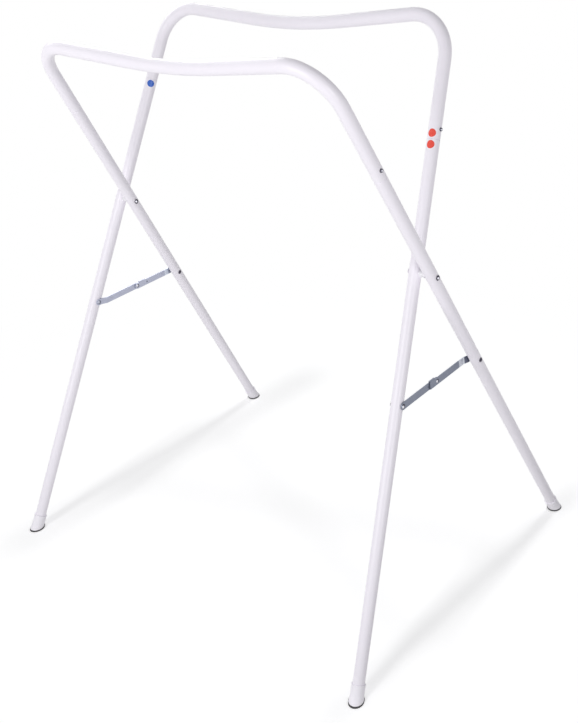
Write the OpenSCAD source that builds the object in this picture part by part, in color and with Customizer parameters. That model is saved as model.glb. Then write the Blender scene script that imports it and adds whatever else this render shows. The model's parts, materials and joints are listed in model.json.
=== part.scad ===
// Folding stand for a baby bath. Two bent tube frames cross like scissors on
// one pivot axis, and a jointed strip brace on each side holds them open.
// Millimetres. +X runs along the bath rails, -Y is the front, +Z is up, and
// the origin lies on the floor under the middle of the stand.

/* [Tube] */
// Outer diameter of the frame tube
tube_d = 20; // [18:0.5:24]
// Wall thickness of the frame tube
tube_wall = 1.2; // [1:0.1:2]

/* [Stance] */
// Distance between the left and the right pivot of one frame
pivot_span = 654; // [560:1:760]
// From the pivot axis down to the floor, measured in the plane of a frame
leg_drop = 676; // [540:1:740]
// Lean of each frame from the vertical when the stand is open, in degrees
lean = 27; // [20:0.5:30]
// Outward splay of each leg in the plane of its frame, in degrees
splay = 6.4; // [4:0.1:8]
// Clear gap between two crossing legs
leg_gap = 10; // [9:0.5:16]

/* [Bath rail] */
// Height of the corner at the high end above the pivot, in the frame's plane
high_corner = 375; // [330:1:440]
// Height of the corner at the low end above the pivot, in the frame's plane
low_corner = 344; // [320:1:400]
// Centre-line radius of the corner bends
corner_r = 65; // [45:1:75]
// Slope of the rail down from each corner to the dip, in degrees
dip_slope = 5.6; // [3:0.1:8]
// Centre-line radius of the dip in the middle of the rail
dip_r = 900; // [400:10:1500]
// Height of the push-fit seams above the pivot at the high end, in the frame's plane
high_end_seam = 193; // [170:1:230]
// Height of the push-fit seams above the pivot at the low end, in the frame's plane
low_end_seam = 216; // [170:1:230]

/* [Push-fit joint] */
// Length of the swaged spigot inside the rail
spigot_len = 45; // [36:1:60]
// Radial clearance of the spigot in the rail
spigot_fit = 0.15; // [0.1:0.05:0.3]
// Diameter of the snap button
button_d = 5; // [4:0.2:7]
// Radial clearance of the snap button in its holes
button_fit = 0.5; // [0.3:0.05:0.7]
// How far the button stands out of the tube
button_proud = 3; // [2:0.5:4]
// Height of the button's axis above the seam
button_rise = 15; // [12:1:20]

/* [Feet] */
// Height of the tube's cut end above the floor, along the leg
tube_lift = 14; // [12:0.5:18]
// Height of the foot cap along the leg
cap_len = 31; // [26:1:40]
// Wall of the foot cap round the tube
cap_wall = 1.5; // [1.2:0.1:2.5]
// How much the foot cap flares out at the floor
cap_flare = 1.2; // [0.5:0.1:2]
// Thickness of the rubber pad under the cap
pad_thickness = 3; // [2:0.5:4]

/* [Pivot] */
// Diameter of the pivot rivet
pivot_d = 6; // [5:0.5:8]
// Diameter of the pivot rivet's head and of its clinched end
pivot_head_d = 8.5; // [7.5:0.5:12]
// Height of the pivot rivet's domed head
pivot_head_h = 2.2; // [1.5:0.1:3]
// Outer diameter of the plastic spacer between the legs
spacer_d = 10; // [9:0.5:14]

/* [Brace] */
// Drop of the brace rivets below the pivot, in the plane of a frame
brace_drop = 199; // [170:1:230]
// Width of the brace strip
link_w = 12; // [10:0.5:14]
// Thickness of the brace strip
link_t = 1.5; // [1.2:0.1:2]
// How far the stop link reaches past the knee rivet
stop_reach = 20; // [17:0.5:22]
// Diameter of the brace rivets
link_rivet_d = 5; // [4:0.5:6]
// Diameter of the brace rivets' heads
link_head_d = 8; // [7:0.5:9]
// Length of the slanted crank in each link
crank_len = 10; // [8:0.5:14]

/* [Marker dots] */
// Diameter of the colour dots
dot_d = 12; // [9:0.5:14]
// Distance of a dot's middle from the seam
dot_offset = 8.2; // [7.5:0.1:12]

/* [Hidden] */
$fn = 64;

// Running fit of a rivet in its hole, radial
rivet_fit = 0.05;
// Air left between parts that turn past each other
air = 0.3;
// Gap left at the push-fit seam
seam_gap = 0.05;
// Extra length of a cutting tool past the face it cuts
over = 1;
// Lap of a bend into the straight tube, and how much thinner the bend is
lap = 0.5;
hair = 0.1;

tube_r = tube_d / 2;
bore_r = tube_r - tube_wall;
spigot_r = bore_r - spigot_fit;
spigot_bore_r = spigot_r - tube_wall;
leg_pitch = tube_d + leg_gap;
pivot_h = leg_drop * cos(lean);

// Along a leg, measured from its pivot
function seam_h(side) = side > 0 ? high_end_seam : low_end_seam;
function seam_z(side) = seam_h(side) / cos(splay);
floor_z = -leg_drop / cos(splay);
tube_end_z = floor_z + tube_lift;
swage_len = 8;
function brace_z(outer) = -brace_drop / cos(splay) + outer * leg_pitch / 2 * sin(splay);

// Rail outline: seam, corner, dip, corner, seam, in the plane of the frame
function leg_x(v) = pivot_span / 2 - tan(splay) * v;
rail_high = [leg_x(high_corner), high_corner];
rail_low = [-leg_x(low_corner), low_corner];
chord = rail_low - rail_high;
rail_dip = (rail_high + rail_low) / 2 + [chord[1], -chord[0]] * tan(dip_slope) / 2 * -1;
function rail_end(side) = [side * leg_x(seam_h(side) + seam_gap), seam_h(side) + seam_gap];
rail_points = [rail_end(1), rail_high, rail_dip, rail_low, rail_end(-1)];
rail_radii = [0, corner_r, dip_r, corner_r, 0];

// The brace rivets and the knee lie on a sphere about the point where the
// rivets' axes, square to the splayed legs, meet the pivot axis
swing_r = brace_drop / sin(splay);
swing_half = asin(sin(splay) * sin(lean));
knee_tilt = atan(tan(splay) * cos(lean));
swing_x = leg_x(-brace_drop) + brace_drop / tan(splay);
knee = [swing_x - swing_r * cos(knee_tilt), 0, pivot_h - swing_r * sin(knee_tilt)];
link_len = swing_r * sin(swing_half);
end_in = swing_r * (1 - cos(swing_half));
// Distance of a leg's axis from the middle of the gap, along a brace rivet
leg_off = leg_pitch / 2 * cos(splay);
// Link faces across the gap: the stop link and the plain link at the knee
stop_x = -link_t / 2 - 0.1;
plain_x = stop_x - air - link_t;
// Inner face of a link's end, a short rivet shoulder away from the tube
end_face = leg_off - tube_r - 0.5;
link_head_h = 1.3;
clinch_h = 0.8;
knee_head_d = 7;
end_len = link_head_d / 2 + 1.5;
dot_hole_d = 3;
dot_hole_y = 23.5;
tab_start = 5;
tab_len = stop_reach - tab_start - 1;

tube_white = [0.91, 0.90, 0.93];
cap_white = [0.95, 0.95, 0.96];
pad_grey = [0.12, 0.12, 0.13];
rivet_grey = [0.25, 0.25, 0.28];
zinc_grey = [0.55, 0.58, 0.64];
button_steel = [0.70, 0.70, 0.72];
spring_steel = [0.45, 0.46, 0.50];
dot_red = [0.92, 0.30, 0.26];
dot_blue = [0.14, 0.38, 0.80];

// Frame 1 carries the front rail and ends in the rear legs. Frame -1 carries
// the rear rail and ends in the front legs. Side 1 is right, side -1 is left.
module in_frame(frame) {
    translate([frame * leg_pitch / 2, 0, pivot_h]) rotate([frame * lean, 0, 0]) children();
}

// Along one leg: +Z up the leg from the pivot, +X outwards
module in_leg(frame, side) {
    in_frame(frame) translate([side * pivot_span / 2, 0, 0])
        if (side < 0) mirror([1, 0, 0]) rotate([0, -splay, 0]) children();
        else rotate([0, -splay, 0]) children();
}

// At a knee: +X along the knee rivet, +Y towards the stop link's leg, +Z up
module in_brace(side) {
    rotate([0, 0, side < 0 ? 180 : 0]) translate(knee) rotate([0, -knee_tilt, 0]) children();
}

// At a brace rivet: +X along the rivet, from the middle of the gap.
// End 1 is the stop link's, end -1 the plain link's.
module at_link_end(end) {
    translate([end_in, end * link_len, 0]) rotate([0, 0, -end * swing_half]) children();
}

// Round rod or tool along X
module rod_x(r, x0, x1) {
    translate([x0, 0, 0]) rotate([0, 90, 0]) cylinder(r = r, h = x1 - x0);
}

// Half profile of a domed head of diameter d and height h, standing on y
module dome_profile(d, h, y) {
    ball = (d * d / 4 + h * h) / (2 * h);
    intersection() {
        translate([0, y + h - ball]) circle(r = ball);
        translate([0, y]) square([d, h + over]);
    }
}

// Rivet along X from x0 to x1 with a domed head [diameter, height] at each end
module rivet(d, x0, x1, head_0, head_1) {
    rotate([0, 90, 0]) rotate_extrude() {
        translate([0, x0]) square([d / 2, x1 - x0]);
        if (head_0[0] > 0) mirror([0, 1]) dome_profile(head_0[0], head_0[1], -x0);
        if (head_1[0] > 0) dome_profile(head_1[0], head_1[1], x1);
    }
}

// Rod of radius r along a bent line in the XZ plane, with an arc at each inner
// point, and run past both ends by extra. The arcs are a hair thinner and lap
// into the straight runs, so that the pieces always join.
function unit(v) = v / norm(v);
function turn(p, i) = acos(unit(p[i] - p[i - 1]) * unit(p[i + 1] - p[i]));
function cut(p, radii, i) = radii[i] == 0 ? 0 : radii[i] * tan(turn(p, i) / 2);
function heading(v) = atan2(v[1], v[0]);

module bent_rod(p, radii, r, extra = 0) {
    last = len(p) - 1;
    for (i = [0 : last - 1]) {
        along = unit(p[i + 1] - p[i]);
        start = p[i] + along * (i == 0 ? -extra : cut(p, radii, i));
        stop = p[i + 1] - along * (i + 1 == last ? -extra : cut(p, radii, i + 1));
        translate([start[0], 0, start[1]]) rotate([0, 90 - heading(along), 0])
            cylinder(r = r, h = norm(stop - start));
    }
    for (i = [1 : last - 1]) {
        before = unit(p[i] - p[i - 1]);
        after = unit(p[i + 1] - p[i]);
        left = before[0] * after[1] - before[1] * after[0] > 0;
        hub = p[i] + unit(after - before) * radii[i] / cos(turn(p, i) / 2);
        from = heading(left ? [before[1], -before[0]] : [-after[1], after[0]]);
        more = lap / radii[i] * 180 / PI;
        translate([hub[0], 0, hub[1]]) rotate([90, 0, 0]) rotate([0, 0, from - more])
            rotate_extrude(angle = turn(p, i) + 2 * more)
                translate([radii[i], 0]) circle(r = r - hair);
    }
}

module rail(frame) {
    color(tube_white) difference() {
        in_frame(frame) bent_rod(rail_points, rail_radii, tube_r);
        in_frame(frame) bent_rod(rail_points, rail_radii, bore_r, over);
        for (side = [1, -1]) in_leg(frame, side)
            translate([0, 0, seam_z(side) + button_rise])
                rod_x(button_d / 2 + button_fit, 0, tube_r + over);
    }
}

// Leg tube, swaged down to a spigot above the seam
module leg(frame, side) {
    chamfer = 0.8;
    seam = seam_z(side);
    color(tube_white) in_leg(frame, side) difference() {
        rotate_extrude() polygon([
            [bore_r, tube_end_z], [tube_r, tube_end_z],
            [tube_r, seam - chamfer], [tube_r - chamfer, seam],
            [spigot_r, seam], [spigot_r, seam + spigot_len - 2],
            [spigot_r - 0.8, seam + spigot_len], [spigot_bore_r, seam + spigot_len],
            [spigot_bore_r, seam], [bore_r, seam - swage_len]]);
        rotate([0, splay, 0])
            rod_x(pivot_d / 2 + rivet_fit, -tube_d, tube_d);
        translate([0, 0, brace_z(frame * side)])
            rod_x(link_rivet_d / 2 + rivet_fit, -tube_d, tube_d);
        translate([0, 0, seam + button_rise])
            rod_x(button_d / 2 + button_fit, 0, tube_d);
    }
}

// Snap button: a domed pin with a flange behind the spigot's wall
button_flange_r = button_d / 2 + 1.3;
button_flange_t = 1;
button_seat = sqrt(pow(spigot_bore_r - air, 2) - pow(button_flange_r, 2));
button_tip = tube_r + button_proud;
button_travel = button_tip - bore_r + 0.2;

module button(frame, side) {
    dome = 1.4;
    color(button_steel) in_leg(frame, side) translate([0, 0, seam_z(side) + button_rise]) {
        rod_x(button_flange_r, button_seat - button_flange_t, button_seat);
        rivet(button_d, button_seat, button_tip - dome, [0, 0], [button_d, dome]);
    }
}

// Leaf spring behind the button, in its pressed shape
module button_spring(frame, side) {
    strip = 0.6;
    width = 6;
    back = -sqrt(pow(spigot_bore_r, 2) - pow(width / 2, 2)) + hair;
    front = button_seat - button_flange_t - button_travel - air - strip;
    bend = (front - back + strip) / 2;
    depth = 14;
    color(spring_steel) in_leg(frame, side) translate([0, width / 2, seam_z(side) + button_rise])
        rotate([90, 0, 0]) linear_extrude(width) {
            translate([back, -depth]) square([strip, depth + 6]);
            translate([front, -depth]) square([strip, depth + 4]);
            translate([back + bend, -depth]) difference() {
                circle(r = bend);
                circle(r = bend - strip);
                translate([-bend - over, 0]) square([2 * bend + 2 * over, bend + over]);
            }
        }
}

// Everything above the height z
module above(z) {
    reach = 2000;
    translate([-reach, -reach, z]) cube(2 * reach);
}

module foot_cap(frame, side) {
    top = floor_z + cap_len;
    r = tube_r + cap_wall;
    color(cap_white) intersection() {
        in_leg(frame, side) difference() {
            rotate_extrude() polygon([
                [0, floor_z - 2 * tube_r], [r + cap_flare, floor_z - 2 * tube_r],
                [r + cap_flare, floor_z], [r, floor_z + 12], [r, top - 3],
                [r + 0.4, top - 2.6], [r + 0.4, top - 0.6], [r - 0.2, top], [0, top]]);
            translate([0, 0, tube_end_z])
                cylinder(r = tube_r + rivet_fit, h = cap_len);
        }
        above(pad_thickness);
    }
}

module foot_pad(frame, side) {
    color(pad_grey) intersection() {
        in_leg(frame, side) translate([0, 0, floor_z - 2 * tube_r])
            cylinder(r = tube_r + cap_wall + cap_flare + 0.3, h = 4 * tube_r);
        above(0);
        mirror([0, 0, 1]) above(-pad_thickness);
    }
}

// Pivot rivet through both legs, with a domed head at its right and a low
// clinched end at its left. Both clear the tubes by the splay's rise.
head_seat = tube_r / cos(splay) + tan(splay) * pivot_head_d / 2 + air;

module pivot_rivet(side) {
    reach = leg_pitch / 2 + head_seat;
    color(rivet_grey) translate([side * pivot_span / 2, 0, pivot_h])
        rivet(pivot_d, -reach, reach, [pivot_head_d, clinch_h], [pivot_head_d, pivot_head_h]);
}

// White spacer, saddled on the leg that carries it, flat towards the other leg
module pivot_spacer(side) {
    flat_end = leg_pitch / 2 - tube_r / cos(splay) - tan(splay) * spacer_d / 2 - air;
    color(cap_white) difference() {
        translate([side * pivot_span / 2, 0, pivot_h]) difference() {
            rod_x(spacer_d / 2, -leg_pitch / 2, flat_end);
            rod_x(pivot_d / 2 + rivet_fit, -leg_pitch / 2 - over, flat_end + over);
        }
        in_leg(-1, side) translate([0, 0, -2 * tube_d])
            cylinder(r = tube_r + 0.02, h = 4 * tube_d);
    }
}

// Strip of a link seen from above: a flat at the knee, a slanted crank and a
// flat end square to its rivet. reach is the length past the knee.
module link_strip(end, knee_face, reach) {
    face = end > 0 ? end_face - link_t : -end_face;
    function at_end(x, y) = [end_in + x * cos(swing_half) + y * sin(swing_half),
        end * (link_len - x * sin(swing_half) + y * cos(swing_half))];
    bend_y = end * (link_len - end_len - crank_len);
    translate([0, 0, -link_w / 2]) linear_extrude(link_w) polygon([
        [knee_face, -end * reach], [knee_face + link_t, -end * reach],
        [knee_face + link_t, bend_y], at_end(face + link_t, -end_len),
        at_end(face + link_t, link_w), at_end(face, link_w),
        at_end(face, -end_len), [knee_face, bend_y]]);
}

// Plain outline of a link seen along the knee rivet
module link_outline(end, reach, rounded) {
    depth = 4 * tube_d;
    translate([-depth / 2, 0, 0]) rotate([90, 0, 90]) linear_extrude(depth) {
        translate([end * link_len, 0]) circle(d = link_w);
        translate([end > 0 ? (rounded ? 0 : -reach) : -link_len, -link_w / 2])
            square([link_len + (rounded ? 0 : reach), link_w]);
        if (rounded) circle(d = link_w);
    }
}

module link_holes(end) {
    rod_x(link_rivet_d / 2 + rivet_fit, -tube_d, tube_d);
    at_link_end(end) rod_x(link_rivet_d / 2 + rivet_fit, -tube_d, tube_d);
}

// Link with the bent tab that lands on the plain link and stops the brace flat
module stop_link(side) {
    bend_r = 0.3;
    color(zinc_grey) in_brace(side) {
        difference() {
            intersection() {
                link_strip(1, stop_x, stop_reach);
                link_outline(1, stop_reach, false);
            }
            link_holes(1);
        }
        translate([0, -tab_start, link_w / 2]) rotate([90, 0, 0]) linear_extrude(tab_len) {
            translate([stop_x - bend_r, 0]) intersection() {
                difference() {
                    circle(r = bend_r + link_t);
                    circle(r = bend_r);
                }
                square(link_t + bend_r + over);
            }
            translate([plain_x - 0.2, bend_r])
                square([stop_x - bend_r - plain_x + 0.2, link_t]);
        }
    }
}

module plain_link(side) {
    color(zinc_grey) in_brace(side) difference() {
        intersection() {
            link_strip(-1, plain_x, link_w);
            link_outline(-1, 0, true);
        }
        link_holes(-1);
        translate([0, -dot_hole_y, 0]) rod_x(dot_hole_d / 2, -tube_d, tube_d);
    }
}

// Rivet that holds a link's end on its leg: one head on the link, one on the
// far side of the leg, domed at its right and clinched low at its left, and a
// collar that keeps the link off the tube
module link_rivet(side, end) {
    seat = leg_off + tube_r + 0.1;
    tail = end_face - link_t - 0.2;
    far = [link_head_d, side * end > 0 ? 2 : clinch_h];
    color(rivet_grey) in_brace(side) at_link_end(end) rotate([0, 0, end > 0 ? 0 : 180]) {
        rivet(link_rivet_d, tail, seat, [link_head_d, link_head_h], far);
        rod_x(link_head_d / 2, end_face + 0.1, end_face + 0.35);
    }
}

// The knee rivet is split between the links, so that each half turns with its
// own. The head is rolled over round a small bore, as on a tubular rivet.
module knee_rivet_head(side) {
    seat = stop_x + link_t;
    bore = 1.3;
    color(rivet_grey) in_brace(side) difference() {
        rivet(link_rivet_d, stop_x, seat, [0, 0], [knee_head_d, link_head_h]);
        rod_x(bore, seat + 0.4, seat + link_head_h + over);
    }
}

module knee_rivet_tail(side) {
    color(rivet_grey) in_brace(side)
        rivet(link_rivet_d, plain_x, plain_x + link_t, [knee_head_d, link_head_h], [0, 0]);
}

// Thin round sticker on the tube of a right or left front leg, turned by
// angle from straight ahead towards the leg's outside
module marker_dot(side, shift, angle, colour) {
    skin = 0.02;
    thick = 0.15;
    color(colour) in_leg(-1, side) translate([0, 0, seam_z(side) + shift]) intersection() {
        difference() {
            cylinder(r = tube_r + skin + thick, h = 2 * dot_d, center = true);
            cylinder(r = tube_r + skin, h = 2 * dot_d + over, center = true);
        }
        rotate([0, 0, angle - 90]) rod_x(dot_d / 2, 0, tube_d);
    }
}

rail(1);  // front_rail
rail(-1);  // rear_rail
leg(1, 1);  // rear_right_leg
leg(1, -1);  // rear_left_leg
leg(-1, 1);  // front_right_leg
leg(-1, -1);  // front_left_leg
button(1, 1);  // rear_right_button
button(1, -1);  // rear_left_button
button(-1, 1);  // front_right_button
button(-1, -1);  // front_left_button
button_spring(1, 1);  // rear_right_button_spring
button_spring(1, -1);  // rear_left_button_spring
button_spring(-1, 1);  // front_right_button_spring
button_spring(-1, -1);  // front_left_button_spring
foot_cap(1, 1);  // rear_right_foot_cap
foot_cap(1, -1);  // rear_left_foot_cap
foot_cap(-1, 1);  // front_right_foot_cap
foot_cap(-1, -1);  // front_left_foot_cap
foot_pad(1, 1);  // rear_right_foot_pad
foot_pad(1, -1);  // rear_left_foot_pad
foot_pad(-1, 1);  // front_right_foot_pad
foot_pad(-1, -1);  // front_left_foot_pad
pivot_rivet(1);  // right_pivot_rivet
pivot_rivet(-1);  // left_pivot_rivet
pivot_spacer(1);  // right_pivot_spacer
pivot_spacer(-1);  // left_pivot_spacer
stop_link(1);  // right_stop_link
plain_link(1);  // right_plain_link
stop_link(-1);  // left_stop_link
plain_link(-1);  // left_plain_link
link_rivet(1, 1);  // right_stop_link_rivet
link_rivet(1, -1);  // right_plain_link_rivet
link_rivet(-1, 1);  // left_stop_link_rivet
link_rivet(-1, -1);  // left_plain_link_rivet
knee_rivet_head(1);  // right_knee_rivet_head
knee_rivet_tail(1);  // right_knee_rivet_tail
knee_rivet_head(-1);  // left_knee_rivet_head
knee_rivet_tail(-1);  // left_knee_rivet_tail
marker_dot(1, dot_offset, 9, dot_red);  // red_dot_rail
marker_dot(1, -dot_offset, 9, dot_red);  // red_dot_leg
marker_dot(-1, -dot_offset, -50, dot_blue);  // blue_dot_leg
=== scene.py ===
# Folding baby bath stand: painted tube, zinc-plated brace links, white plastic
# feet and spacers, in plain studio light.
import json
import math

import bmesh
import bpy
from mathutils import Matrix, Vector

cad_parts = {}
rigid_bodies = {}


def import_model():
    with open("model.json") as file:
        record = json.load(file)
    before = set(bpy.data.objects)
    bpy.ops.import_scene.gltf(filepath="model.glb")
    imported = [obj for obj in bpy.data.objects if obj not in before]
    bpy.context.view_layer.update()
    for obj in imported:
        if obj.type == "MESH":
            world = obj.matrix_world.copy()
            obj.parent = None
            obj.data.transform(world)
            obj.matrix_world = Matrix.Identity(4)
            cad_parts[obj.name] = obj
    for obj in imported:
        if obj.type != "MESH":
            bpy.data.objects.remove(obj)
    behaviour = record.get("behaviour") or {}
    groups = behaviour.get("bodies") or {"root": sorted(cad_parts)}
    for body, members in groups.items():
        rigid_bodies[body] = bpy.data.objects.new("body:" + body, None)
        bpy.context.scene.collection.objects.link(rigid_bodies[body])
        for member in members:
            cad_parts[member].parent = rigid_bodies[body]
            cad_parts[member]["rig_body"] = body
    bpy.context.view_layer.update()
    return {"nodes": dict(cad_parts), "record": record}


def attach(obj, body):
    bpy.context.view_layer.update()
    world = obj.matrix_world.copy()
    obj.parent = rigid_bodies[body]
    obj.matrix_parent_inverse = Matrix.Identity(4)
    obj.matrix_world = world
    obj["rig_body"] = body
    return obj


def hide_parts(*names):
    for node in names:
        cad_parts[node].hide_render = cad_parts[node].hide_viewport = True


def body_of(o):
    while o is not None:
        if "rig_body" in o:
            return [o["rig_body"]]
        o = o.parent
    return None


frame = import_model()
nodes = frame["nodes"]


# ---------------------------------------------------------------- camera
# The view is a crop out of a wider picture, so the lens axis meets the frame
# below and to the right of the frame's own middle. Places in the frame are in
# pixels, the camera's place is in metres, its turns are in radians.
FRAME_W, FRAME_H = 578, 723
FOCAL_PX = 976.0
AXIS_PX = (384.0, 430.0)
CAMERA_AT = Vector((1.0870, -1.1059, 1.2112))
YAW, PITCH, ROLL = 0.6553, 0.5823, -0.0539
SENSOR_MM = 36
VIEW_END = 60


def make_camera():
    forward = Vector((-math.sin(YAW) * math.cos(PITCH),
                      math.cos(YAW) * math.cos(PITCH),
                      -math.sin(PITCH)))
    level = forward.cross(Vector((0, 0, 1))).normalized()
    upright = level.cross(forward)
    right = level * math.cos(ROLL) + upright * math.sin(ROLL)
    up = upright * math.cos(ROLL) - level * math.sin(ROLL)
    data = bpy.data.cameras.new("camera")
    longer = max(FRAME_W, FRAME_H)
    data.sensor_width = SENSOR_MM
    data.lens = FOCAL_PX * SENSOR_MM / longer
    data.shift_x = (FRAME_W / 2 - AXIS_PX[0]) / longer
    data.shift_y = (AXIS_PX[1] - FRAME_H / 2) / longer
    data.clip_end = VIEW_END
    camera = bpy.data.objects.new("camera", data)
    turn = Matrix((right, up, -forward)).transposed().to_4x4()
    camera.matrix_world = Matrix.Translation(CAMERA_AT) @ turn
    bpy.context.scene.collection.objects.link(camera)
    bpy.context.scene.camera = camera


# ---------------------------------------------------------------- node tools
def socket(group, name, kind, way, default=None):
    made = group.interface.new_socket(name=name, in_out=way, socket_type=kind)
    if default is not None:
        made.default_value = default


def wire(tree, source, target):
    tree.links.new(source, target)


def coordinate(tree, kind="Object"):
    return tree.nodes.new("ShaderNodeTexCoord").outputs[kind]


def split(tree, vector):
    made = tree.nodes.new("ShaderNodeSeparateXYZ")
    wire(tree, vector, made.inputs[0])
    return made.outputs


def sum_of(tree, operation, a, b=None, clamp=False):
    made = tree.nodes.new("ShaderNodeMath")
    made.operation, made.use_clamp = operation, clamp
    for slot, value in zip(made.inputs, (a, b)):
        if isinstance(value, (int, float)):
            slot.default_value = value
        elif value is not None:
            wire(tree, value, slot)
    return made.outputs[0]


def vector_math(tree, operation, a, b=None):
    made = tree.nodes.new("ShaderNodeVectorMath")
    made.operation = operation
    for slot, value in zip(made.inputs, (a, b)):
        if isinstance(value, Vector):
            slot.default_value = value
        elif value is not None:
            wire(tree, value, slot)
    single = operation in ("DOT_PRODUCT", "LENGTH")
    return made.outputs["Value" if single else "Vector"]


def band(tree, value, low, high):
    """0 below low, 1 above high, smooth between; low may be above high."""
    made = tree.nodes.new("ShaderNodeMapRange")
    made.interpolation_type = "SMOOTHSTEP"
    made.clamp = True
    wire(tree, value, made.inputs["Value"])
    if low <= high:
        made.inputs["From Min"].default_value = low
        made.inputs["From Max"].default_value = high
    else:
        made.inputs["From Min"].default_value = high
        made.inputs["From Max"].default_value = low
        made.inputs["To Min"].default_value = 1
        made.inputs["To Max"].default_value = 0
    return made.outputs["Result"]


def blend_colour(tree, mask, a, b):
    made = tree.nodes.new("ShaderNodeMix")
    made.data_type = "RGBA"
    made.clamp_factor = True
    wire(tree, mask, made.inputs[0])
    for slot, value in ((made.inputs[6], a), (made.inputs[7], b)):
        if isinstance(value, tuple):
            slot.default_value = value + (1,) * (4 - len(value))
        else:
            wire(tree, value, slot)
    return made.outputs[2]


def noise(tree, place, scale, detail, rough):
    made = tree.nodes.new("ShaderNodeTexNoise")
    made.inputs["Scale"].default_value = scale
    made.inputs["Detail"].default_value = detail
    made.inputs["Roughness"].default_value = rough
    wire(tree, place, made.inputs["Vector"])
    return made.outputs["Fac"]


# ---------------------------------------------------------------- shared effects
def new_group(name):
    group = bpy.data.node_groups.new(name, "ShaderNodeTree")
    return group, group.nodes.new("NodeGroupInput"), group.nodes.new("NodeGroupOutput")


def tone_drift_group():
    """Slow, slight change of tone over a surface, and a finer mottle in it."""
    group, given, out = new_group("tone_drift")
    socket(group, "Colour", "NodeSocketColor", "INPUT", (0.8, 0.8, 0.8, 1))
    socket(group, "Tint", "NodeSocketColor", "INPUT", (0.7, 0.7, 0.7, 1))
    socket(group, "Patch Scale", "NodeSocketFloat", "INPUT", 9.0)
    socket(group, "Fine Scale", "NodeSocketFloat", "INPUT", 160.0)
    socket(group, "Amount", "NodeSocketFloat", "INPUT", 0.3)
    socket(group, "Colour", "NodeSocketColor", "OUTPUT")
    socket(group, "Mask", "NodeSocketFloat", "OUTPUT")
    place = coordinate(group)
    patch = group.nodes.new("ShaderNodeTexNoise")
    fine = group.nodes.new("ShaderNodeTexNoise")
    for made, key in ((patch, "Patch Scale"), (fine, "Fine Scale")):
        made.inputs["Detail"].default_value = 4
        wire(group, place, made.inputs["Vector"])
        wire(group, given.outputs[key], made.inputs["Scale"])
    both = sum_of(group, "ADD", sum_of(group, "MULTIPLY", patch.outputs["Fac"], 0.7),
                  sum_of(group, "MULTIPLY", fine.outputs["Fac"], 0.3))
    mask = sum_of(group, "MULTIPLY", band(group, both, 0.35, 0.68), given.outputs["Amount"],
                  clamp=True)
    toned = blend_colour(group, mask, given.outputs["Colour"], given.outputs["Tint"])
    wire(group, toned, out.inputs["Colour"])
    wire(group, mask, out.inputs["Mask"])
    return group


def grain_group():
    """Height of a sprayed or moulded skin: a soft dimple with a finer grit."""
    group, given, out = new_group("skin_grain")
    socket(group, "Dimple Scale", "NodeSocketFloat", "INPUT", 700.0)
    socket(group, "Grit Scale", "NodeSocketFloat", "INPUT", 2600.0)
    socket(group, "Grit Share", "NodeSocketFloat", "INPUT", 0.25)
    socket(group, "Height", "NodeSocketFloat", "OUTPUT")
    place = coordinate(group)
    dimple = group.nodes.new("ShaderNodeTexNoise")
    grit = group.nodes.new("ShaderNodeTexNoise")
    for made, key, detail in ((dimple, "Dimple Scale", 1), (grit, "Grit Scale", 3)):
        made.inputs["Detail"].default_value = detail
        wire(group, place, made.inputs["Vector"])
        wire(group, given.outputs[key], made.inputs["Scale"])
    fine = sum_of(group, "MULTIPLY", grit.outputs["Fac"], given.outputs["Grit Share"])
    wire(group, sum_of(group, "ADD", dimple.outputs["Fac"], fine), out.inputs["Height"])
    return group


def wear_group():
    """Where a sharp edge is rubbed: a mask along edges, broken up by noise."""
    group, given, out = new_group("edge_wear")
    socket(group, "Width", "NodeSocketFloat", "INPUT", 0.0008)
    socket(group, "Break Up", "NodeSocketFloat", "INPUT", 420.0)
    socket(group, "Amount", "NodeSocketFloat", "INPUT", 0.5)
    socket(group, "Mask", "NodeSocketFloat", "OUTPUT")
    place = coordinate(group)
    rounded = group.nodes.new("ShaderNodeBevel")
    rounded.samples = 4
    wire(group, given.outputs["Width"], rounded.inputs["Radius"])
    flat = group.nodes.new("ShaderNodeNewGeometry").outputs["Normal"]
    alike = vector_math(group, "DOT_PRODUCT", rounded.outputs["Normal"], flat)
    edge = band(group, alike, 0.995, 0.90)
    spots = group.nodes.new("ShaderNodeTexNoise")
    spots.inputs["Detail"].default_value = 5
    wire(group, place, spots.inputs["Vector"])
    wire(group, given.outputs["Break Up"], spots.inputs["Scale"])
    kept = sum_of(group, "MULTIPLY", edge, band(group, spots.outputs["Fac"], 0.38, 0.62))
    mask = sum_of(group, "MULTIPLY", kept, given.outputs["Amount"], clamp=True)
    wire(group, mask, out.inputs["Mask"])
    return group


def dust_group():
    """Faint dust and scuffs that thin out with height above the floor."""
    group, given, out = new_group("floor_dust")
    socket(group, "Height", "NodeSocketFloat", "INPUT", 0.12)
    socket(group, "Amount", "NodeSocketFloat", "INPUT", 0.25)
    socket(group, "Mask", "NodeSocketFloat", "OUTPUT")
    place = coordinate(group)
    height = sum_of(group, "DIVIDE", split(group, place)["Z"], given.outputs["Height"])
    low = sum_of(group, "SUBTRACT", 1.0, height, clamp=True)
    spots = sum_of(group, "ADD", sum_of(group, "MULTIPLY", noise(group, place, 55, 5, 0.6), 0.6),
                   sum_of(group, "MULTIPLY", noise(group, place, 900, 2, 0.6), 0.4))
    kept = sum_of(group, "MULTIPLY", band(group, spots, 0.42, 0.66),
                  sum_of(group, "POWER", low, 1.6))
    mask = sum_of(group, "MULTIPLY", kept, given.outputs["Amount"], clamp=True)
    wire(group, mask, out.inputs["Mask"])
    return group


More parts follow.
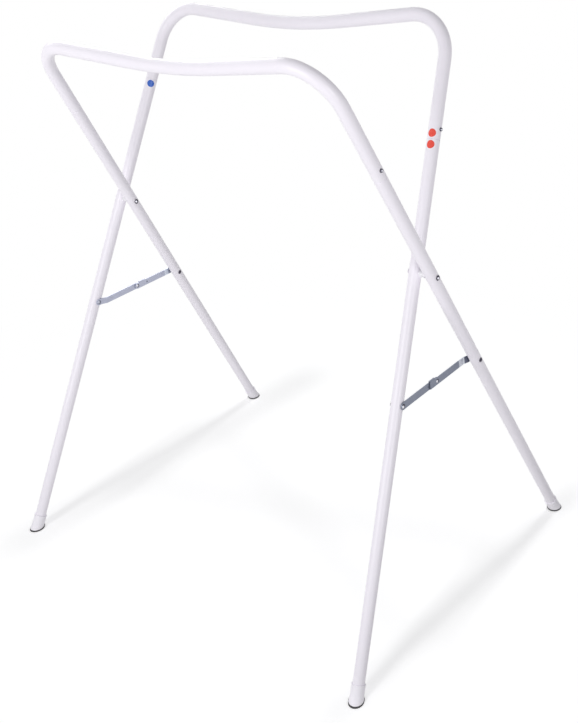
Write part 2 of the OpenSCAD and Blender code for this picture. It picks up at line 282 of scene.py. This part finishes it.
def streak_group():
    """Fine parallel rolling marks along X, Y or Z of the row frame."""
    group, given, out = new_group("rolled_streaks")
    socket(group, "Stretch", "NodeSocketVector", "INPUT", (1600.0, 30.0, 1600.0))
    socket(group, "Amount", "NodeSocketFloat", "INPUT", 1.0)
    socket(group, "Mask", "NodeSocketFloat", "OUTPUT")
    pulled = vector_math(group, "MULTIPLY", coordinate(group), given.outputs["Stretch"])
    lines = noise(group, pulled, 1.0, 4, 0.6)
    mask = sum_of(group, "MULTIPLY", lines, given.outputs["Amount"], clamp=True)
    wire(group, mask, out.inputs["Mask"])
    return group


def placed(tree, group, **values):
    made = tree.nodes.new("ShaderNodeGroup")
    made.node_tree = group
    for key, value in values.items():
        name = key.replace("_", " ")
        if isinstance(value, tuple) and len(value) == 3 and made.inputs[name].type == "RGBA":
            value = value + (1,)
        made.inputs[name].default_value = value
    return made


def linear(r, g, b):
    """Colour as seen on screen, 0 to 255, as the linear colour that nodes take."""
    def one(c):
        c /= 255
        return c / 12.92 if c <= 0.04045 else ((c + 0.055) / 1.055) ** 2.4
    return one(r), one(g), one(b)


tone_drift, skin_grain = tone_drift_group(), grain_group()
edge_wear, floor_dust, rolled_streaks = wear_group(), dust_group(), streak_group()


def new_material(name):
    made = bpy.data.materials.new(name)
    made.use_nodes = True
    tree = made.node_tree
    return made, tree, tree.nodes["Principled BSDF"]


def bump(tree, shader, height, distance):
    made = tree.nodes.new("ShaderNodeBump")
    made.inputs["Distance"].default_value = distance
    wire(tree, height, made.inputs["Height"])
    wire(tree, made.outputs[0], shader.inputs["Normal"])


def rough_from(tree, shader, mask, low, high):
    made = tree.nodes.new("ShaderNodeMapRange")
    made.inputs["To Min"].default_value = low
    made.inputs["To Max"].default_value = high
    wire(tree, mask, made.inputs["Value"])
    wire(tree, made.outputs["Result"], shader.inputs["Roughness"])


def toward(tree, direction, low, high):
    """Mask of the faces that look along a direction, the same on both ends in X; it places
    painted highlights.
    """
    apart = split(tree, coordinate(tree, "Normal"))
    kept = tree.nodes.new("ShaderNodeCombineXYZ")
    wire(tree, sum_of(tree, "ABSOLUTE", apart["X"]), kept.inputs["X"])
    wire(tree, apart["Y"], kept.inputs["Y"])
    wire(tree, apart["Z"], kept.inputs["Z"])
    facing = vector_math(tree, "DOT_PRODUCT", kept.outputs[0], Vector(direction).normalized())
    return band(tree, facing, low, high)


# ---------------------------------------------------------------- finishes
# Way that a rivet's crown faces where its highlight is painted, and half the blur where a link's
# painted light and shade begin
HIGHLIGHT_TO = (0.93, -0.34, 0.12)
BEND_BLUR = 0.0006


def tube_paint():
    """Stoved lavender-white paint: soft gloss, fine orange peel, some dust low down."""
    made, tree, shader = new_material("tube_paint")
    tone = placed(tree, tone_drift, Colour=linear(243, 239, 247), Tint=linear(235, 231, 240),
                  Patch_Scale=5.0, Fine_Scale=90.0, Amount=0.3)
    dust = placed(tree, floor_dust, Height=0.14, Amount=0.12)
    dusty = blend_colour(tree, dust.outputs["Mask"], tone.outputs["Colour"],
                         linear(214, 210, 213))
    wire(tree, dusty, shader.inputs["Base Color"])
    rubbed = band(tree, noise(tree, coordinate(tree), 34, 5, 0.62), 0.46, 0.72)
    rough_from(tree, shader, rubbed, 0.28, 0.33)
    grain = placed(tree, skin_grain, Dimple_Scale=620.0, Grit_Scale=2400.0, Grit_Share=0.12)
    bump(tree, shader, grain.outputs["Height"], 0.00002)
    shader.inputs["Specular IOR Level"].default_value = 0.28
    shader.inputs["Coat Weight"].default_value = 0.12
    shader.inputs["Coat Roughness"].default_value = 0.12
    return made


def moulded_plastic(name, colour, tint, rough, dust_amount):
    """Moulded cap or spacer: matt skin, faint flow marks, rubbed edges."""
    made, tree, shader = new_material(name)
    tone = placed(tree, tone_drift, Colour=colour, Tint=tint,
                  Patch_Scale=60.0, Fine_Scale=700.0, Amount=0.5)
    wear = placed(tree, edge_wear, Width=0.0007, Break_Up=600.0, Amount=0.5)
    worn = blend_colour(tree, wear.outputs["Mask"], tone.outputs["Colour"],
                        tuple(c * 0.84 for c in colour))
    dust = placed(tree, floor_dust, Height=0.05, Amount=dust_amount)
    dusty = blend_colour(tree, dust.outputs["Mask"], worn, linear(176, 172, 170))
    wire(tree, dusty, shader.inputs["Base Color"])
    rough_from(tree, shader, tone.outputs["Mask"], rough, rough + 0.14)
    grain = placed(tree, skin_grain, Dimple_Scale=1500.0, Grit_Scale=4200.0, Grit_Share=0.5)
    bump(tree, shader, grain.outputs["Height"], 0.00005)
    return made


def pad_rubber():
    """Black rubber, greyed by floor dust."""
    made, tree, shader = new_material("pad_rubber")
    tone = placed(tree, tone_drift, Colour=linear(46, 45, 48), Tint=linear(72, 70, 72),
                  Patch_Scale=90.0, Fine_Scale=900.0, Amount=0.6)
    dust = placed(tree, floor_dust, Height=0.006, Amount=0.5)
    dusty = blend_colour(tree, dust.outputs["Mask"], tone.outputs["Colour"],
                         linear(120, 117, 115))
    wire(tree, dusty, shader.inputs["Base Color"])
    rough_from(tree, shader, tone.outputs["Mask"], 0.62, 0.86)
    grain = placed(tree, skin_grain, Dimple_Scale=2200.0, Grit_Scale=5200.0, Grit_Share=0.7)
    bump(tree, shader, grain.outputs["Height"], 0.00012)
    return made


def plated_metal(name, colour, tint, rough, stretch, worn=0.5, metallic=1.0,
                 crown=None, bend=None, painted=False):
    """Plated or blackened steel with rolling marks, brighter rubbed edges and, where asked,
    painted light.

    crown: from and to how straight a face looks the crown's way, and the colour of the
    highlight painted there.
    bend: where along Y a link turns light and then dark, and both colours: a painted highlight
    on the bend, then painted shade where the link's end lies close to the tube.
    painted: the end towards -X carries the tubes' paint."""
    made, tree, shader = new_material(name)
    tone = placed(tree, tone_drift, Colour=colour, Tint=tint,
                  Patch_Scale=70.0, Fine_Scale=520.0, Amount=0.8)
    lines = placed(tree, rolled_streaks, Stretch=stretch, Amount=1.0)
    lined = blend_colour(tree, sum_of(tree, "MULTIPLY", lines.outputs["Mask"], 0.35),
                         tone.outputs["Colour"], tuple(min(1, c * 1.25) for c in colour))
    wear = placed(tree, edge_wear, Width=0.0005, Break_Up=700.0, Amount=worn)
    shown = blend_colour(tree, wear.outputs["Mask"], lined, linear(205, 207, 212))
    if crown:
        # Painted highlight: the crown's colour goes on the faces that look its way
        low, high, light = crown
        shown = blend_colour(tree, toward(tree, HIGHLIGHT_TO, low, high), shown, light)
    if bend:
        # Painted highlight where the link bends, then painted shade where its end lies close to
        # the tube
        along = split(tree, coordinate(tree))["Y"]
        for place, painted_tone in zip(bend[:2], bend[2:]):
            part = band(tree, along, place - BEND_BLUR, place + BEND_BLUR)
            shown = blend_colour(tree, part, shown, painted_tone)
    if painted:
        inner = band(tree, split(tree, coordinate(tree, "Generated"))["X"], 0.55, 0.45)
        shown = blend_colour(tree, inner, shown, linear(236, 232, 240))
        bare = sum_of(tree, "SUBTRACT", 1.0, inner)
        wire(tree, sum_of(tree, "MULTIPLY", bare, metallic), shader.inputs["Metallic"])
    else:
        shader.inputs["Metallic"].default_value = metallic
    wire(tree, shown, shader.inputs["Base Color"])
    rough_from(tree, shader, lines.outputs["Mask"], rough, rough + 0.22)
    bump(tree, shader, lines.outputs["Mask"], 0.00004)
    return made


def printed_film(name, colour, tint):
    """Round printed sticker: even colour, faint print grain, glossy film."""
    made, tree, shader = new_material(name)
    tone = placed(tree, tone_drift, Colour=colour, Tint=tint,
                  Patch_Scale=120.0, Fine_Scale=1500.0, Amount=0.5)
    wire(tree, tone.outputs["Colour"], shader.inputs["Base Color"])
    rough_from(tree, shader, tone.outputs["Mask"], 0.26, 0.36)
    grain = placed(tree, skin_grain, Dimple_Scale=900.0, Grit_Scale=3000.0, Grit_Share=0.3)
    bump(tree, shader, grain.outputs["Height"], 0.00003)
    return made


# How closely the rolling marks lie along X, Y and Z
EVEN, ALONG_Y = (900.0, 900.0, 900.0), (2400.0, 26.0, 2400.0)

FINISHES = {
    "tube_paint": tube_paint(),
    "cap_plastic": moulded_plastic(
        "cap_plastic", linear(246, 243, 250), linear(238, 235, 243), 0.42, 0.12),
    "spacer_plastic": moulded_plastic(
        "spacer_plastic", linear(240, 239, 243), linear(228, 227, 232), 0.38, 0.0),
    "pad_rubber": pad_rubber(),
    # The crown colours on the rivets, buttons and dimple below are painted highlights
    "rivet_steel": plated_metal(
        "rivet_steel", linear(70, 67, 78), linear(54, 50, 62), 0.30, EVEN, worn=0.15),
    "highlit_rivet_steel": plated_metal(
        "highlit_rivet_steel", linear(62, 60, 72), linear(48, 46, 58), 0.26, EVEN, worn=0.2,
        crown=(0.90, 0.985, linear(226, 226, 234))),
    # Lighter copy for the left brace's rivet: painted light, with a painted highlight on its
    # crown
    "painted_light_rivet_steel": plated_metal(
        "painted_light_rivet_steel", linear(108, 110, 124), linear(92, 94, 108), 0.30, EVEN, worn=0.2,
        crown=(0.86, 0.96, linear(172, 175, 188))),
    "pivot_steel": plated_metal(
        "pivot_steel", linear(58, 54, 68), linear(44, 41, 54), 0.26, EVEN, worn=0.2,
        crown=(0.90, 0.985, linear(232, 232, 240)), painted=True),
    "knee_rivet_steel": plated_metal(
        "knee_rivet_steel", linear(78, 77, 88), linear(60, 59, 72), 0.24, EVEN, worn=0.2,
        crown=(0.88, 0.97, linear(218, 218, 226))),
    # Right brace links: painted highlight on the bend, painted shade at the end by the tube
    "link_zinc": plated_metal(
        "link_zinc", linear(130, 135, 149), linear(118, 123, 139), 0.34, ALONG_Y, worn=0.35,
        metallic=0.9, bend=(0.0625, 0.0771, linear(204, 208, 216), linear(104, 108, 124))),
    # Left brace links: a lighter copy that paints the brighter light there, with painted
    # highlight and shade at the bend
    "painted_light_link_zinc": plated_metal(
        "painted_light_link_zinc", linear(178, 181, 197), linear(166, 169, 186), 0.34, ALONG_Y,
        worn=0.35, metallic=0.9,
        bend=(0.0700, 0.0800, linear(206, 213, 224), linear(152, 158, 174))),
    # Darker than the link: painted shade in the pressed hollow, with a painted highlight on its
    # crown
    "painted_shade_dimple_zinc": plated_metal(
        "painted_shade_dimple_zinc", linear(92, 95, 110), linear(78, 80, 96), 0.40, EVEN, worn=0.1,
        crown=(0.90, 0.97, linear(120, 124, 140))),
    "button_steel": plated_metal(
        "button_steel", linear(104, 103, 114), linear(84, 83, 95), 0.2, (700.0, 700.0, 700.0),
        worn=0.3, crown=(0.90, 0.985, linear(232, 232, 240))),
    "spring_steel": plated_metal(
        "spring_steel", linear(128, 130, 136), linear(100, 103, 110), 0.34,
        (1600.0, 1600.0, 60.0)),
    "dot_red": printed_film("dot_red", linear(236, 78, 62), linear(224, 66, 54)),
    "dot_blue": printed_film("dot_blue", linear(42, 98, 196), linear(34, 84, 178)),
}

# Pieces whose plating looks other than their slot's own finish: painted highlights, and on the
# left brace lighter copies that paint the brighter light falling there
SPECIAL_FINISH = {
    "right_pivot_rivet": "pivot_steel", "left_pivot_rivet": "pivot_steel",
    "right_plain_link_rivet": "highlit_rivet_steel",
    "left_stop_link_rivet": "painted_light_rivet_steel",
    "left_stop_link": "painted_light_link_zinc", "left_plain_link": "painted_light_link_zinc",
}
slot_of = {part["node"]: part["material_slot"] for part in frame["record"]["subparts"]}
for name, piece in nodes.items():
    piece.data.materials.clear()
    piece.data.materials.append(FINISHES[SPECIAL_FINISH.get(name, slot_of[name])])


# ---------------------------------------------------------------- brace links
# As seen, the two links of a brace run nearly in one straight line from leg to leg, so
# they are set a little askew, as far as the folded legs leave room for. Distance along
# the brace towards the stop link's leg, outward shift in metres.
LINK_SHIFT = ((-0.085, 0.0), (-0.0748, 0.0002), (0.0748, 0.0019), (0.0847, 0.0))
# The right side's dimple in metres, how far its face leans, and its own measures
DIMPLE_AT, DIMPLE_LEAN = (0.34517, -0.0235, 0.42448), 0.11
DIMPLE_RADIUS, DIMPLE_HEIGHT, DIMPLE_SUNK = 0.0016, 0.0012, 0.0003
DIMPLE_SEGMENTS = 40


def side_name(side):
    return "right" if side > 0 else "left"


def link_shift(along):
    for (y0, x0), (y1, x1) in zip(LINK_SHIFT, LINK_SHIFT[1:]):
        if y0 <= along <= y1:
            return x0 + (x1 - x0) * (along - y0) / (y1 - y0)
    return 0.0


def straightened(name, side):
    """The link or knee rivet of that name, set straighter between its leg rivets."""
    given = nodes[name]
    mesh = given.data.copy()
    for vertex in mesh.vertices:
        vertex.co.x += side * link_shift(side * vertex.co.y)
    made = bpy.data.objects.new(name + "_straight", mesh)
    bpy.context.scene.collection.objects.link(made)
    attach(made, *body_of(given))
    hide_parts(name)


def dimple(name, side):
    """Shallow pressed mark that fills the plain link's small hole."""
    shape = bmesh.new()
    bmesh.ops.create_cone(shape, cap_ends=True, segments=DIMPLE_SEGMENTS, radius1=DIMPLE_RADIUS,
                          radius2=DIMPLE_RADIUS * 0.75, depth=DIMPLE_HEIGHT)
    inner = [face for face in shape.faces if face.normal.z > 0.9]
    bmesh.ops.inset_region(shape, faces=inner, thickness=DIMPLE_RADIUS * 0.35,
                           depth=-DIMPLE_SUNK)
    mesh = bpy.data.meshes.new(side_name(side) + "_link_dimple")
    x, y, z = DIMPLE_AT
    x += link_shift(y)
    facing = Vector((1, 0, side * DIMPLE_LEAN)).to_track_quat("Z", "Y").to_matrix().to_4x4()
    shape.transform(Matrix.Translation((side * x, side * y, z)) @ facing)
    shape.to_mesh(mesh)
    shape.free()
    mesh.shade_smooth()
    made = bpy.data.objects.new(mesh.name, mesh)
    # Its darker finish is painted shade in the hollow
    made.data.materials.append(FINISHES["painted_shade_dimple_zinc"])
    bpy.context.scene.collection.objects.link(made)
    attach(made, *body_of(nodes[name]))


for side in (1, -1):
    for piece in ("stop_link", "plain_link", "knee_rivet_head", "knee_rivet_tail"):
        straightened(side_name(side) + "_" + piece, side)
    dimple(side_name(side) + "_plain_link", side)


# ---------------------------------------------------------------- room and light
SKY = 0.37
FLOOR_SIZE = 24
FLOOR_LIT, FLOOR_GLOW = 0.95, 0.565
# Distance from the middle over which the shadowed floor passes into plain white
FLOOR_WHITE = (0.62, 1.25)
# Light thrown up by the floor: distance from the middle in metres, strength
FLOOR_THROW = ((0.0, 0.88), (0.33, 0.80), (0.5, 0.55), (0.64, 0.12), (0.9, 0.12),
               (1.08, 1.1), (1.9, 1.2), (2.3, 0.48), (3.0, 0.46))
# Long soft painted shadows on the floor, over the stand's real one: two that cross under the
# stand and one along each side's pair of feet. Middle, turn in degrees, half length, half width,
# depth
FLOOR_SHADES = (((0.006, 0.03), 17.6, 0.46, 0.105, 0.040),
                ((0.02, 0.005), -23.0, 0.45, 0.080, 0.038),
                ((-0.372, 0.047), 84.6, 0.50, 0.085, 0.100),
                ((0.401, 0.016), 86.0, 0.43, 0.048, 0.100))
# Name, place, point aimed at, size, watts. The first lights only the floor and the
# others only the stand, whose rails throw no shadow from the first.
OVERHEAD = ("overhead", (0.0, 0.0, 3.29), (0, 0, 0), (0.22, 0.22), 12)
STAND_LAMPS = (("front_box", (-0.22, -2.0, 1.1), (0, 0, 0.5), (1.3, 1.2), 19.0),
               ("right_box", (2.6, -1.5, 1.2), (0, 0, 0.5), (1.2, 1.2), 19.0),
               ("left_rear_box", (-2.6, 1.5, 2.0), (0, 0, 0.5), (1.5, 1.5), 22.0),
               ("left_box", (-1.6, 0.1, 1.8), (0, 0, 0.6), (1.2, 1.2), 8.0))


def seen_rays(tree):
    """1 for rays that show the room: straight to the camera, by a gloss or through glass."""
    path = tree.nodes.new("ShaderNodeLightPath")
    indirect = sum_of(tree, "MAXIMUM", path.outputs["Is Glossy Ray"],
                      path.outputs["Is Transmission Ray"])
    return sum_of(tree, "MAXIMUM", path.outputs["Is Camera Ray"], indirect)


def glow(tree, strength):
    made = tree.nodes.new("ShaderNodeEmission")
    made.inputs["Color"].default_value = (1, 1, 1, 1)
    if isinstance(strength, (int, float)):
        made.inputs["Strength"].default_value = strength
    else:
        wire(tree, strength, made.inputs["Strength"])
    return made.outputs[0]


def either(tree, mask, a, b):
    made = tree.nodes.new("ShaderNodeMixShader")
    for slot, source in zip(made.inputs, (mask, a, b)):
        wire(tree, source, slot)
    return made.outputs[0]


def floor_shade(tree, place, middle, turn, half_length, half_width):
    """1 along the middle of a long soft painted shadow on the floor, 0 at its rim."""
    local = tree.nodes.new("ShaderNodeMapping")
    local.vector_type = "TEXTURE"
    local.inputs["Location"].default_value = (middle[0], middle[1], 0)
    local.inputs["Rotation"].default_value = (0, 0, math.radians(turn))
    local.inputs["Scale"].default_value = (half_length, half_width, 1)
    wire(tree, place, local.inputs["Vector"])
    apart = split(tree, local.outputs[0])
    along, across = (sum_of(tree, "ABSOLUTE", apart[axis]) for axis in "XY")
    return sum_of(tree, "MULTIPLY", band(tree, along, 1.0, 0.72), band(tree, across, 1.0, 0.0))


def make_floor():
    """Studio floor: shown white with the stand's soft shadow from the overhead lamp and long
    painted shadows, and plain white further out; the light that it throws back up is weaker
    close to the stand."""
    bpy.ops.mesh.primitive_plane_add(size=FLOOR_SIZE, location=(0, 0, 0))
    floor = bpy.context.object
    floor.name = "floor"
    made, tree, shader = new_material("floor_white")
    shader.inputs["Base Color"].default_value = (FLOOR_LIT, FLOOR_LIT, FLOOR_LIT, 1)
    shader.inputs["Roughness"].default_value = 1.0
    shader.inputs["Specular IOR Level"].default_value = 0.0
    shader.inputs["Emission Color"].default_value = (1, 1, 1, 1)
    place = coordinate(tree)
    level = FLOOR_GLOW
    # Painted shadows are taken off the floor's glow
    for *where, depth in FLOOR_SHADES:
        shade = sum_of(tree, "MULTIPLY", floor_shade(tree, place, *where), depth)
        level = sum_of(tree, "SUBTRACT", level, shade)
    wire(tree, level, shader.inputs["Emission Strength"])
    away = vector_math(tree, "LENGTH", place)
    shown = either(tree, band(tree, away, *FLOOR_WHITE), shader.outputs[0], glow(tree, 1.0))
    ramp = tree.nodes.new("ShaderNodeValToRGB")
    reach_max, top = FLOOR_THROW[-1][0], max(v for _, v in FLOOR_THROW)
    stops = ramp.color_ramp.elements
    while len(stops) < len(FLOOR_THROW):
        stops.new(0.5)
    for stop, (far, value) in zip(stops, FLOOR_THROW):
        stop.position = far / reach_max
        stop.color = (value / top,) * 3 + (1,)
    wire(tree, sum_of(tree, "DIVIDE", away, reach_max), ramp.inputs[0])
    thrown = glow(tree, sum_of(tree, "MULTIPLY", ramp.outputs["Color"], top))
    wire(tree, either(tree, seen_rays(tree), thrown, shown),
         tree.nodes["Material Output"].inputs["Surface"])
    floor.data.materials.append(made)
    return floor


def make_world():
    world = bpy.data.worlds.new("studio")
    bpy.context.scene.world = world
    world.use_nodes = True
    tree = world.node_tree
    tree.nodes.clear()
    out = tree.nodes.new("ShaderNodeOutputWorld")
    light = tree.nodes.new("ShaderNodeBackground")
    light.inputs["Color"].default_value = (0.98, 0.985, 1.0, 1)
    light.inputs["Strength"].default_value = SKY
    white = tree.nodes.new("ShaderNodeBackground")
    white.inputs["Color"].default_value = (1, 1, 1, 1)
    white.inputs["Strength"].default_value = 1.0
    wire(tree, either(tree, seen_rays(tree), light.outputs[0], white.outputs[0]),
         out.inputs[0])


def all_but(*pieces):
    """For a lamp's light or its shadows: everything but these pieces."""
    kept = bpy.data.collections.new("all_but_" + pieces[0].name)
    for piece in pieces:
        kept.objects.link(piece)
    for entry in kept.collection_objects:
        entry.light_linking.link_state = "EXCLUDE"
    return kept


def lamp(name, at, aim, size, power, lit=None, shading=None):
    data = bpy.data.lights.new(name, "AREA")
    data.shape = "RECTANGLE"
    data.size, data.size_y = size
    data.energy = power
    made = bpy.data.objects.new(name, data)
    if lit:
        made.light_linking.receiver_collection = lit
    if shading:
        made.light_linking.blocker_collection = shading
    made.location = at
    made.rotation_euler = (Vector(aim) - Vector(at)).to_track_quat("-Z", "Y").to_euler()
    bpy.context.scene.collection.objects.link(made)


make_camera()
floor = make_floor()
stand_only = all_but(floor)
floor_only = bpy.data.collections.new("floor_only")
floor_only.objects.link(floor)
make_world()
lamp(*OVERHEAD, floor_only, all_but(nodes["front_rail"], nodes["rear_rail"]))
for settings in STAND_LAMPS:
    lamp(*settings, stand_only)

bpy.context.scene.view_settings.view_transform = "Standard"
